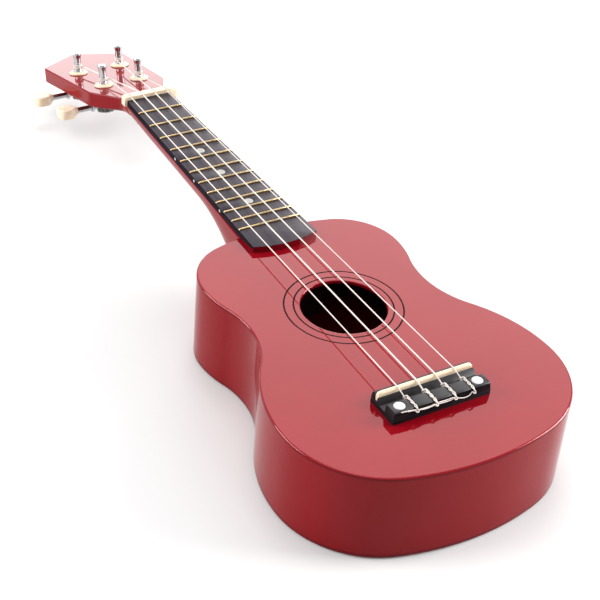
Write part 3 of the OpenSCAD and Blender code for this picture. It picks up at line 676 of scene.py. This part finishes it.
def round_half(width, depth, fullness):
    """Right half of the neck's own section: a flat top and a D below, squarer when less full."""
    points = [(x, 0) for x in np.linspace(0, width, 40, endpoint=False)]
    for a in np.radians(np.linspace(0, 90, 90)):
        points.append((width * math.cos(a) ** fullness, -depth * math.sin(a) ** fullness))
    return points


def polar(points, centre_z):
    """Angles below the top, and distances, of points seen from the section's middle."""
    points = np.array(points)
    angles = math.pi / 2 - np.arctan2(points[:, 1] - centre_z, np.maximum(points[:, 0], 0))
    return angles, np.hypot(points[:, 0], points[:, 1] - centre_z)


def section(width, depth, hump_width, hump_depth, low_r, top_r, softness, fullness=0.82):
    """Right half of the union of a slab and the neck's D, with the joint between them filled."""
    centre_z = -depth / 2
    angles, slab_r = polar(slab_half(width, depth, top_r, low_r), centre_z)
    hump_angles, hump_r = polar(round_half(hump_width, hump_depth, fullness), centre_z)
    hump_r = np.interp(angles, hump_angles, hump_r)
    fill = softness * np.clip((angles - 1.4) / 0.6, 0, 1)
    r = 0.5 * (slab_r + hump_r + np.sqrt((slab_r - hump_r) ** 2 + fill**2))
    r = np.where(fill > 0, r, np.maximum(slab_r, hump_r))
    return [(d * math.sin(a), centre_z + d * math.cos(a)) for a, d in zip(angles, r)]


def ring_of(half, origin, up):
    """Full ring from a half section, standing at origin with its own up direction."""
    ring = half + [(-x, z) for x, z in half[-2:0:-1]]
    return [origin + np.array([x, 0, 0]) + up * z for x, z in ring]


def board_half(y):
    """Half width of the fingerboard at a place along it."""
    return NUT_HALF + (TWELFTH_HALF - NUT_HALF) * (NUT_Y - y) / (SCALE / 2)


def neck_depth(y):
    """Depth of the neck under the fingerboard, curving down into the heel."""
    heel_start = JOINT_Y + HEEL_LEN
    share = min(1, max(0, (NUT_Y - y) / (NUT_Y - heel_start)))
    plain = DEPTH_NUT + (DEPTH_HEEL - DEPTH_NUT) * share
    if y > heel_start:
        return plain
    s = min(1, (heel_start - y) / HEEL_LEN)
    return plain + (HEEL_DEPTH - plain) * s**HEEL_POWER


def neck_ring(y):
    """Section of the neck, tilting towards the headstock as it nears the nut."""
    tilt = HEAD_ANGLE * blend(0, 1, (y - NUT_Y + 26) / (26 + NUT_T))
    depth, half = neck_depth(y), board_half(min(y, NUT_Y + 1)) - 0.3
    fullness = 0.82 - 0.27 * min(1, max(0, (JOINT_Y + HEEL_LEN - y) / HEEL_LEN))
    part = section(half * 0.86, depth * 0.4, half, depth, depth * 0.12, 0.2, 0, fullness)
    return ring_of(part, np.array([0, y, TOP_Z]), np.array([0, math.sin(tilt), math.cos(tilt)]))


def head_ring(v, half):
    """Section of the headstock, with the neck's D fading out below it."""
    hump = (HEAD_Z - TOP_Z + DEPTH_NUT - v * math.sin(HEAD_ANGLE)) / math.cos(HEAD_ANGLE)
    hump_half = min(NUT_HALF - 0.3, half * 0.99)
    low_r = min(blend(6.5, 0.8, v / 26), half * 0.4)
    part = section(half, HEAD_T, hump_half, max(hump, HEAD_T * 0.5), low_r,
        min(0.8, half * 0.4), 3.0 * blend(1, 0, (v - 14) / 30))
    return ring_of(part, on_head(0, v, 0), HEAD_UP)


def neck_rings():
    """Rings from the sound box to the tip of the headstock, which takes over under the nut."""
    heel = [JOINT_Y + (HEEL_LEN + 2) * (i / 34) ** 1.3 for i in range(34)]
    rings = [neck_ring(y) for y in [*heel, *np.linspace(JOINT_Y + HEEL_LEN + 2, NUT_Y, 56)]]
    for y in NUT_Y + NUT_T * np.arange(1, 8) / 8:
        share = blend(0, 1, (y - NUT_Y) / NUT_T)
        pairs = zip(neck_ring(y), head_ring(0, NUT_HALF))
        rings.append([a + share * (b + np.array([0, y - NUT_Y - NUT_T, 0]) - a) for a, b in pairs])
    shape = head_outline()
    along = [p[1] for p in shape]
    places = sorted({round(float(v), 3) for v in [*along, *np.linspace(0, 40, 41),
        *np.linspace(40, 106, 30), *np.linspace(106, HEAD_LEN - 0.15, 26)] if v < HEAD_LEN - 0.1})
    halves = np.interp(places, along, [p[0] for p in shape])
    return rings + [head_ring(v, float(half)) for v, half in zip(places, halves)]


def make_neck():
    """Neck, heel and headstock in one: its heel end is moulded to the curve of the sound box."""
    rings = neck_rings()
    half = half_outline(0)[-ARC_STEPS - 1:]
    xs, ys = [p[0] for p in half][::-1], [p[1] for p in half][::-1]
    for k in range(16):
        share = 1 - k / 16
        for p in rings[k]:
            p[1] += (np.interp(abs(p[0]), xs, ys) - JOINT_Y - 0.4) * share
    points, faces = bridge_rings(rings)
    solid("neck_finish", points, faces, "side_lacquer", BODY, ["neck"], sharp=38)


# ---------------------------------------------------------------- fingerboard's painted end, saddle

BOARD_END, BOARD_BULGE = 192.3, 4.0
PAINT_T = 0.06


def board_end_arc(out, count=25):
    """Points round the fingerboard's curved end, from the bass corner to the treble one."""
    half = board_half(NUT_Y - BOARD_END)
    r = (half**2 + BOARD_BULGE**2) / (2 * BOARD_BULGE)
    spread = math.asin(half / r)
    middle = NUT_Y - BOARD_END - BOARD_BULGE + r
    return [((r + out) * math.sin(a), middle - (r + out) * math.cos(a))
        for a in np.linspace(-spread, spread, count)]


def make_end_paint():
    """Red lacquer that runs over the fingerboard's end and thins out along its sides."""
    reach = 17.5
    ends = {}
    for out in (-0.4, PAINT_T):
        path = board_end_arc(out)
        for side in (-1, 1):
            run = [(side * (board_half(path[0][1] + t) + out), path[0][1] + t)
                for t in np.linspace(0.4, reach, 14)]
            path = run[::-1] + path if side < 0 else path + run
        ends[out] = path
    count = len(ends[PAINT_T])
    rings = []
    for k in range(count):
        edge = min(k, count - 1 - k) / 13
        high = 4.05 if edge > 1 else 0.15 + 2.0 * edge**1.1
        inner, outer = ends[-0.4][k], ends[PAINT_T][k]
        rings.append([(*inner, TOP_Z + 0.02), (*outer, TOP_Z + 0.02), (*outer, TOP_Z + high - 0.1),
            (*inner, TOP_Z + high)])
    points, faces = bridge_rings(rings)
    solid("fingerboard_end_lacquer", points, faces, "red_lacquer", BODY, [], sharp=25)


def make_saddle():
    """Cream bar with a round top, whose two ends are rounded down as well."""
    low, high = box_mm("saddle")
    half, middle = high[0], (low[1] + high[1]) / 2
    thick = (high[1] - low[1]) / 2
    rings = []
    ends = [(0.02, 2.6), (0.1, 1.6), (0.35, 0.9), (0.8, 0.4), (1.5, 0.1), (2.4, 0)]
    places = [(-half + d, drop) for d, drop in ends]
    places += [(x, 0) for x in np.linspace(-half + 4, half - 4, 12)]
    places += [(half - d, drop) for d, drop in ends[::-1]]
    for x, drop in places:
        top = high[2] - drop
        angles = np.radians(np.linspace(0, 180, 17))
        side = thick - 0.02
        ring = [(x, middle + side, low[2]), (x, middle + side, top - thick - 0.4)]
        ring += [(x, middle + side * math.cos(a), top - thick + thick * math.sin(a))
            for a in angles]
        ring += [(x, middle - side, top - thick - 0.4), (x, middle - side, low[2])]
        rings.append(ring)
    points, faces = bridge_rings(rings)
    solid("saddle_finish", points, faces, "cream_plastic", BODY, ["saddle"], sharp=60)


# ---------------------------------------------------------------- strings

SADDLE_Y = (box_mm("saddle")[0][1] + box_mm("saddle")[1][1]) / 2
SADDLE_TOP = box_mm("saddle")[1][2]
STRING_R = (0.31, 0.43, 0.37, 0.29)
NUT_SPACING, SADDLE_SPACING = 9.0, 12.4
NUT_ACTION = 0.7
TIE_SHIFT = 1.0
POSTS = ((-1, 14, 40.5), (-1, 16.5, 80.5), (1, 16.5, 80.5), (1, 14, 40.5))
POST_WAIST = 2.6
WINDING_H, WINDING_TURNS = 3.6, 3
# Distance of a knot's two twisted strands from the line between them
STRAND = 0.46
# Radius of a drawn string, as a multiple of its CAD radius
DRAWN = 1.05
TIE_FRONT, TIE_BACK = -9.5, -17.9


def string_points(i):
    """From the winding on the post, over the nut and saddle, down to the tie block's hole."""
    side, px, pv = POSTS[i]
    r = STRING_R[i]
    wound = POST_WAIST + r + 0.03
    nut_x, x = (i - 1.5) * NUT_SPACING, (i - 1.5) * SADDLE_SPACING
    nut_z = BOARD_TOP + FRET_H + NUT_ACTION + r
    start = on_head(side * (px - wound), pv - 0.4, WINDING_H + WINDING_TURNS * r)
    return [
        start,
        on_head(side * (px - wound), pv - 2.4, WINDING_H + WINDING_TURNS * r),
        (nut_x, NUT_Y + NUT_T + 0.6, nut_z - 0.5),
        (nut_x, NUT_Y + NUT_T * 0.6, nut_z - 0.08),
        (nut_x, NUT_Y + 0.3, nut_z),
        (x, SADDLE_Y + 1.2, SADDLE_TOP + r),
        (x, SADDLE_Y, SADDLE_TOP + r + 0.02),
        (x + 0.1, SADDLE_Y - 1.4, SADDLE_TOP + r - 0.35),
        (x + TIE_SHIFT * 0.8, SADDLE_Y - 7.0, TOP_Z + 6.3),
        (x + TIE_SHIFT, SADDLE_Y + TIE_FRONT, TOP_Z + 5.0),
    ]


def knot_points():
    """The loop through the tie block and back over it, in millimetres from its own groove."""
    twist = []
    for k in range(9):
        t = k / 8
        a = math.radians(35 + 400 * t)
        twist.append((STRAND * math.cos(a), TIE_BACK + 0.5 + t * 8.0, 8.05 + STRAND * math.sin(a)))
    back = []
    for k in range(9):
        t = 1 - k / 8
        a = math.radians(215 + 400 * t)
        back.append((STRAND * math.cos(a), TIE_BACK + 0.5 + t * 8.0, 8.05 + STRAND * math.sin(a)))
    front = [(0.55, -8.6, 7.7), (1.0, -7.4, 7.2), (0.7, -6.7, 6.1), (-0.2, -6.3, 5.7),
        (-0.9, -6.8, 6.3), (-0.8, -7.6, 7.4), (0.0, -8.0, 8.0), (0.4, -8.6, 8.2)]
    rise = [(0, TIE_FRONT + 3, 5.0), (0, TIE_BACK, 4.9), (0.1, TIE_BACK - 1.1, 5.2),
        (0.3, TIE_BACK - 1.2, 6.4), (0.4, TIE_BACK - 0.5, 7.5)]
    return rise + twist + front + back


def tail_points(i):
    """From the tie block's rear edge leftwards along it, in millimetres from its own groove."""
    drop = [(-0.3, TIE_BACK - 0.4, 7.9), (0.2, TIE_BACK - 1.3, 7.0), (0.9, TIE_BACK - 1.5, 6.2),
        (0.5, TIE_BACK - 2.1, 5.6), (-0.6, TIE_BACK - 2.0, 5.7), (-1.1, TIE_BACK - 1.2, 6.2)]
    gap = SADDLE_SPACING
    tails = (
        [(-3.5, TIE_BACK - 0.5, 6.8), (-9.5, TIE_BACK - 0.2, 7.2)],
        [(-4, TIE_BACK - 1.0, 5.6), (-gap + 2, TIE_BACK - 1.2, 6.0),
            (-gap - 1, TIE_BACK - 0.8, 6.5), (-gap - 5.5, TIE_BACK - 0.6, 6.9)],
        [(-4, TIE_BACK - 1.2, 5.5), (-gap + 2, TIE_BACK - 1.3, 5.9),
            (-gap - 1, TIE_BACK - 1.5, 6.2), (-gap * 1.5, TIE_BACK - 1.4, 5.6),
            (-2 * gap + 1.4, TIE_BACK - 1.5, 6.4)],
        [(-3.5, TIE_BACK - 1.6, 4.7), (-7, TIE_BACK - 1.7, 4.6), (-gap + 1.6, TIE_BACK - 1.5, 5.6),
            (-gap - 1.4, TIE_BACK - 1.2, 6.7), (-gap * 1.5, TIE_BACK - 1.0, 6.4),
            (-2 * gap + 1.4, TIE_BACK - 1.1, 6.8)],
    )
    return drop + tails[i]


def make_string(i):
    """One string, from its winding to the tie at the bridge."""
    c = COURSES[i]
    shift = np.array([(i - 1.5) * SADDLE_SPACING + TIE_SHIFT, SADDLE_Y, TOP_Z])
    top = string_points(i)
    sections = [smooth_path(top[:3], 3)[:-1], smooth_path(top[2:5], 0.8)[:-1], [top[4]],
        smooth_path(top[5:], 0.8)[:-1]]
    tied = smooth_path([np.array(p) + shift for p in knot_points() + tail_points(i)], 0.35)
    path = [p for part in sections for p in part] + [np.array(top[-1])] + tied
    points, faces = bridge_rings(tube(path, STRING_R[i] * DRAWN, 12))
    solid(f"string_{c}_finish", points, faces, "nylon", BODY, [f"string_{c}"])


def make_winding(i):
    """Turns of string round its post, with the end tucked through the post's hole."""
    c, r = COURSES[i], STRING_R[i]
    side, px, pv = POSTS[i]
    wound = POST_WAIST + 0.55 * r
    steps = 36
    turns = steps * WINDING_TURNS + 1
    path = []
    for k in range(turns):
        a = math.radians(360 * k / steps)
        height = WINDING_H + r + 2.02 * r * k / steps
        path.append((-side * wound * math.cos(a), wound * math.sin(a), height))
    end = path[-1]
    path += [(end[0] * 0.9, end[1] + 1.2, end[2] + 0.8), (0.2, 2.9, 7.6), (0, 1.5, 8.0),
        (0, -3.2, 8.0), (0.2, -4.2, 8.3)]
    placed = [on_head(side * px + x, pv + y, z) for x, y, z in path]
    route = placed[:turns] + smooth_path(placed[turns - 1:], 0.4)[1:]
    points, faces = bridge_rings(tube(route, 0.85 * r, 10))
    solid(f"winding_{c}_finish", points, faces, "nylon", f"roller_{c}", [f"winding_{c}"])


FRET_COUNT = 12


def make_frets():
    """Frets in equal temperament, each with short walls, a round crown and sloping ends."""
    angles = [math.radians(a) for a in range(0, 181, 20)]
    crown = [(-0.62 * math.cos(a), 0.42 + 0.68 * math.sin(a)) for a in angles]
    profile = [(-0.62, -0.05), *crown, (0.62, -0.05)]
    parts = []
    for n in range(1, FRET_COUNT + 1):
        y = NUT_Y - SCALE * (1 - 2 ** (-n / 12))
        half = board_half(y) - 0.1
        places = [(-half, 0.45), (-half + 0.25, 0.8), (-half + 0.7, 1), (0, 1)]
        places += [(-x, size) for x, size in places[2::-1]]
        rings = [[(x, y + w, BOARD_TOP + h * size) for w, h in profile] for x, size in places]
        parts.append(bridge_rings(rings))
    points, faces = join_parts(*parts)
    solid("frets_finish", points, faces, "fret_brass", BODY, ["frets"], sharp=40)


# ---------------------------------------------------------------- tuners

GEAR_CENTRES = 8.5
PLATE_T, WORM_DROP = 1, 5.5
WORM_H = -HEAD_T - PLATE_T - WORM_DROP
BUTTON_AT = 27.0
BUTTON_SIZE = (12.5, 15.0, 7.0)
GEAR_TEETH, PITCH_R = 14, 5.8
WORM_PITCH = 2 * math.pi * PITCH_R / GEAR_TEETH
WORM_TURNS = 3
POST_H = 15.5
SHAFT_R = 2.0


def revolved(profile, origin, axis, spoke, sides=40):
    """Rings of a shape turned round an axis, from (radius, height) pairs."""
    across = np.cross(axis, spoke)
    angles = np.arange(sides) * 2 * math.pi / sides
    return [
        [origin + axis * h + r * (spoke * math.cos(a) + across * math.sin(a)) for a in angles]
        for r, h in profile
    ]


def make_button(i):
    """Oval button with softly rounded edges, slightly dished flat faces and a short collar."""
    c = COURSES[i]
    side, px, pv = POSTS[i]
    count = 72
    half = BUTTON_SIZE[2] / 2
    profile = [(0.0, half - 0.35), (0.35, half - 0.33), (0.7, half - 0.16), (0.86, half - 0.02),
        (0.93, half - 0.06), (0.975, half - 0.4), (1.0, half - 1.2), (1.01, 0.0)]
    profile += [(w, -h) for w, h in profile[-2::-1]]
    rings = []
    for width, height in profile:
        ring = []
        for k in range(count):
            a = 2 * math.pi * k / count
            cos, sin = math.cos(a), math.sin(a)
            x = math.copysign(abs(cos) ** 0.75, cos) * BUTTON_SIZE[0] / 2
            y = math.copysign(abs(sin) ** 0.75, sin) * BUTTON_SIZE[1] / 2 * (0.93 + 0.07 * cos)
            ring.append(on_head(side * (px + BUTTON_AT + x * max(width, 0.01)),
                pv + GEAR_CENTRES + y * max(width, 0.01), WORM_H + height))
        rings.append(ring)
    collar = [(0.1, -1.7), (2.5, -1.7), (2.85, -1.45), (2.95, -1.0), (2.95, 2.2), (0.1, 2.2)]
    base = on_head(side * (px + BUTTON_AT - BUTTON_SIZE[0] / 2), pv + GEAR_CENTRES, WORM_H)
    stem = revolved(collar, base, np.array([side, 0, 0.0]), HEAD_UP, 32)
    points, faces = join_parts(bridge_rings(rings), bridge_rings(stem))
    solid(f"button_{c}_finish", points, faces, "cream_plastic", f"key_{c}", [f"button_{c}"],
        sharp=50)


def make_worm(i):
    """Shaft and screw thread: right-handed on the treble side and left-handed on the bass side."""
    c = COURSES[i]
    side, px, pv = POSTS[i]
    axis = np.array([side, 0, 0.0])
    middle = on_head(side * px, pv + GEAR_CENTRES, WORM_H)
    end = BUTTON_AT - BUTTON_SIZE[0] / 2 + 4.9
    profile = [(0.1, -8.4), (1.7, -8.4), (SHAFT_R, -8.1), (SHAFT_R, end), (0.1, end)]
    shaft = bridge_rings(revolved(profile, middle, axis, HEAD_DIR, 32))
    rings = []
    steps = 108
    for k in range(steps + 1):
        turn = WORM_TURNS * (k / steps - 0.5)
        a = 2 * math.pi * turn
        fade = min(1, 8 * min(k, steps - k) / steps + 0.05)
        out = HEAD_DIR * math.cos(a) + HEAD_UP * math.sin(a)
        crest = SHAFT_R - 0.2 + 1.25 * fade
        profile = [(1.7, -0.66), (crest - 0.12, -0.36), (crest, -0.24), (crest, 0.24),
            (crest - 0.12, 0.36), (1.7, 0.66)]
        rings.append([middle + out * p + axis * (turn * WORM_PITCH + q) for p, q in profile])
    points, faces = join_parts(shaft, bridge_rings(rings))
    solid(f"worm_{c}_finish", points, faces, "shaft_chrome", f"key_{c}", [f"worm_shaft_{c}"],
        sharp=40)


def make_post(i):
    """Plated post: spigot, waist for the string and a flared top."""
    c = COURSES[i]
    side, px, pv = POSTS[i]
    low, top = WORM_H - 1.5, POST_H
    profile = [(0.1, low), (1.98, low), (1.98, low + 3), (3, low + 3), (3, 1.8), (2.9, 2.2),
        (2.66, 3.0), (POST_WAIST, 3.4)]
    profile += [(POST_WAIST, top - 4.6), (2.64, top - 3.9), (2.8, top - 2.9), (3.02, top - 2.0),
        (3.1, top - 1.5), (3.1, top - 0.6), (3.02, top - 0.25), (2.8, top - 0.05), (2.6, top),
        (0.1, top)]
    rings = revolved(profile, on_head(side * px, pv, 0), HEAD_UP, np.array([1.0, 0, 0]), 48)
    points, faces = bridge_rings(rings)
    made = solid(f"post_{c}_finish", points, faces, "post_chrome", f"roller_{c}", [f"post_{c}"],
        sharp=40)
    cut_hole(made, on_head(side * px, pv, 8), HEAD_DIR, 0.85, 5)


def cut_hole(piece, centre, direction, radius, half_len):
    """Cross hole cut through a piece, and the cutter thrown away."""
    rings = revolved([(radius, -half_len), (radius, half_len)], centre, direction,
        np.array([1.0, 0, 0]), 24)
    points, faces = bridge_rings(rings)
    mesh = bpy.data.meshes.new("cutter")
    mesh.from_pydata([tuple(float(c) * MM for c in p) for p in points], [], faces)
    cutter = bpy.data.objects.new("cutter", mesh)
    bpy.context.scene.collection.objects.link(cutter)
    tool = piece.modifiers.new("hole", "BOOLEAN")
    tool.object = cutter
    tool.operation = "DIFFERENCE"
    bpy.context.view_layer.update()
    evaluated = piece.evaluated_get(bpy.context.evaluated_depsgraph_get())
    cut = bpy.data.meshes.new_from_object(evaluated)
    piece.modifiers.clear()
    piece.data = cut
    cut.shade_smooth()
    cut.set_sharp_from_angle(angle=math.radians(40))
    bpy.data.objects.remove(cutter)


def make_bushings():
    """Cream collars on the headstock's face, one round each post."""
    parts = []
    profile = [(3.06, -HEAD_T + 2), (4.5, -HEAD_T + 2), (4.5, 0), (6.3, 0), (6.55, 0.15),
        (6.62, 0.45), (6.55, 0.85), (6.3, 1.15), (5.6, 1.45), (4.6, 1.7), (3.9, 1.8), (3.4, 1.74),
        (3.1, 1.5), (3.06, 1.2)]
    for side, px, pv in POSTS:
        rings = revolved(profile, on_head(side * px, pv, 0), HEAD_UP, np.array([1.0, 0, 0]), 64)
        parts.append(bridge_rings(rings, closed_loop=True))
    points, faces = join_parts(*parts)
    solid("bushings_finish", points, faces, "cream_plastic", BODY, ["bushings"], sharp=45)


# ---------------------------------------------------------------- floor


def add_floor():
    """Wide pale floor that the ukulele lies on."""
    shape = bmesh.new()
    bmesh.ops.create_grid(shape, x_segments=4, y_segments=4, size=9)
    mesh = bpy.data.meshes.new("floor")
    shape.to_mesh(mesh)
    shape.free()
    paper = new_material("paper_white", (0.62, 0.62, 0.62), 0.6, Specular_IOR_Level=0.2)
    drive(paper, "Base Color", ramp(paper, noise(paper, 3, detail=2),
        (0.3, (0.615, 0.615, 0.615)), (0.7, (0.625, 0.625, 0.625))))
    mesh.materials.append(paper)
    floor = bpy.data.objects.new("floor", mesh)
    floor.location.z = cad_box[0][2] - 0.0002
    bpy.context.scene.collection.objects.link(floor)


# ---------------------------------------------------------------- whole instrument

add_camera()
add_lights()
materials = make_materials()
make_soundboard()
make_back()
make_rib("rib_bass", -1)
make_rib("rib_treble", 1)
make_neck()
make_frets()
softened("fingerboard", "board_black", 0.15, BODY)
make_end_paint()
softened("nut", "cream_plastic", 0.3, BODY)
softened("bridge", "bridge_black", 0.18, BODY)
make_saddle()
softened("bridge_caps", "cap_white", 0.25, BODY)
make_bushings()
for i, course in enumerate(COURSES):
    make_string(i)
    make_winding(i)
    make_button(i)
    make_worm(i)
    make_post(i)
    softened(f"tuner_plate_{course}", "plate_chrome", 0.15, BODY, 2)
    softened(f"gear_{course}", "gear_steel", 0.12, f"roller_{course}", 2)
add_floor()
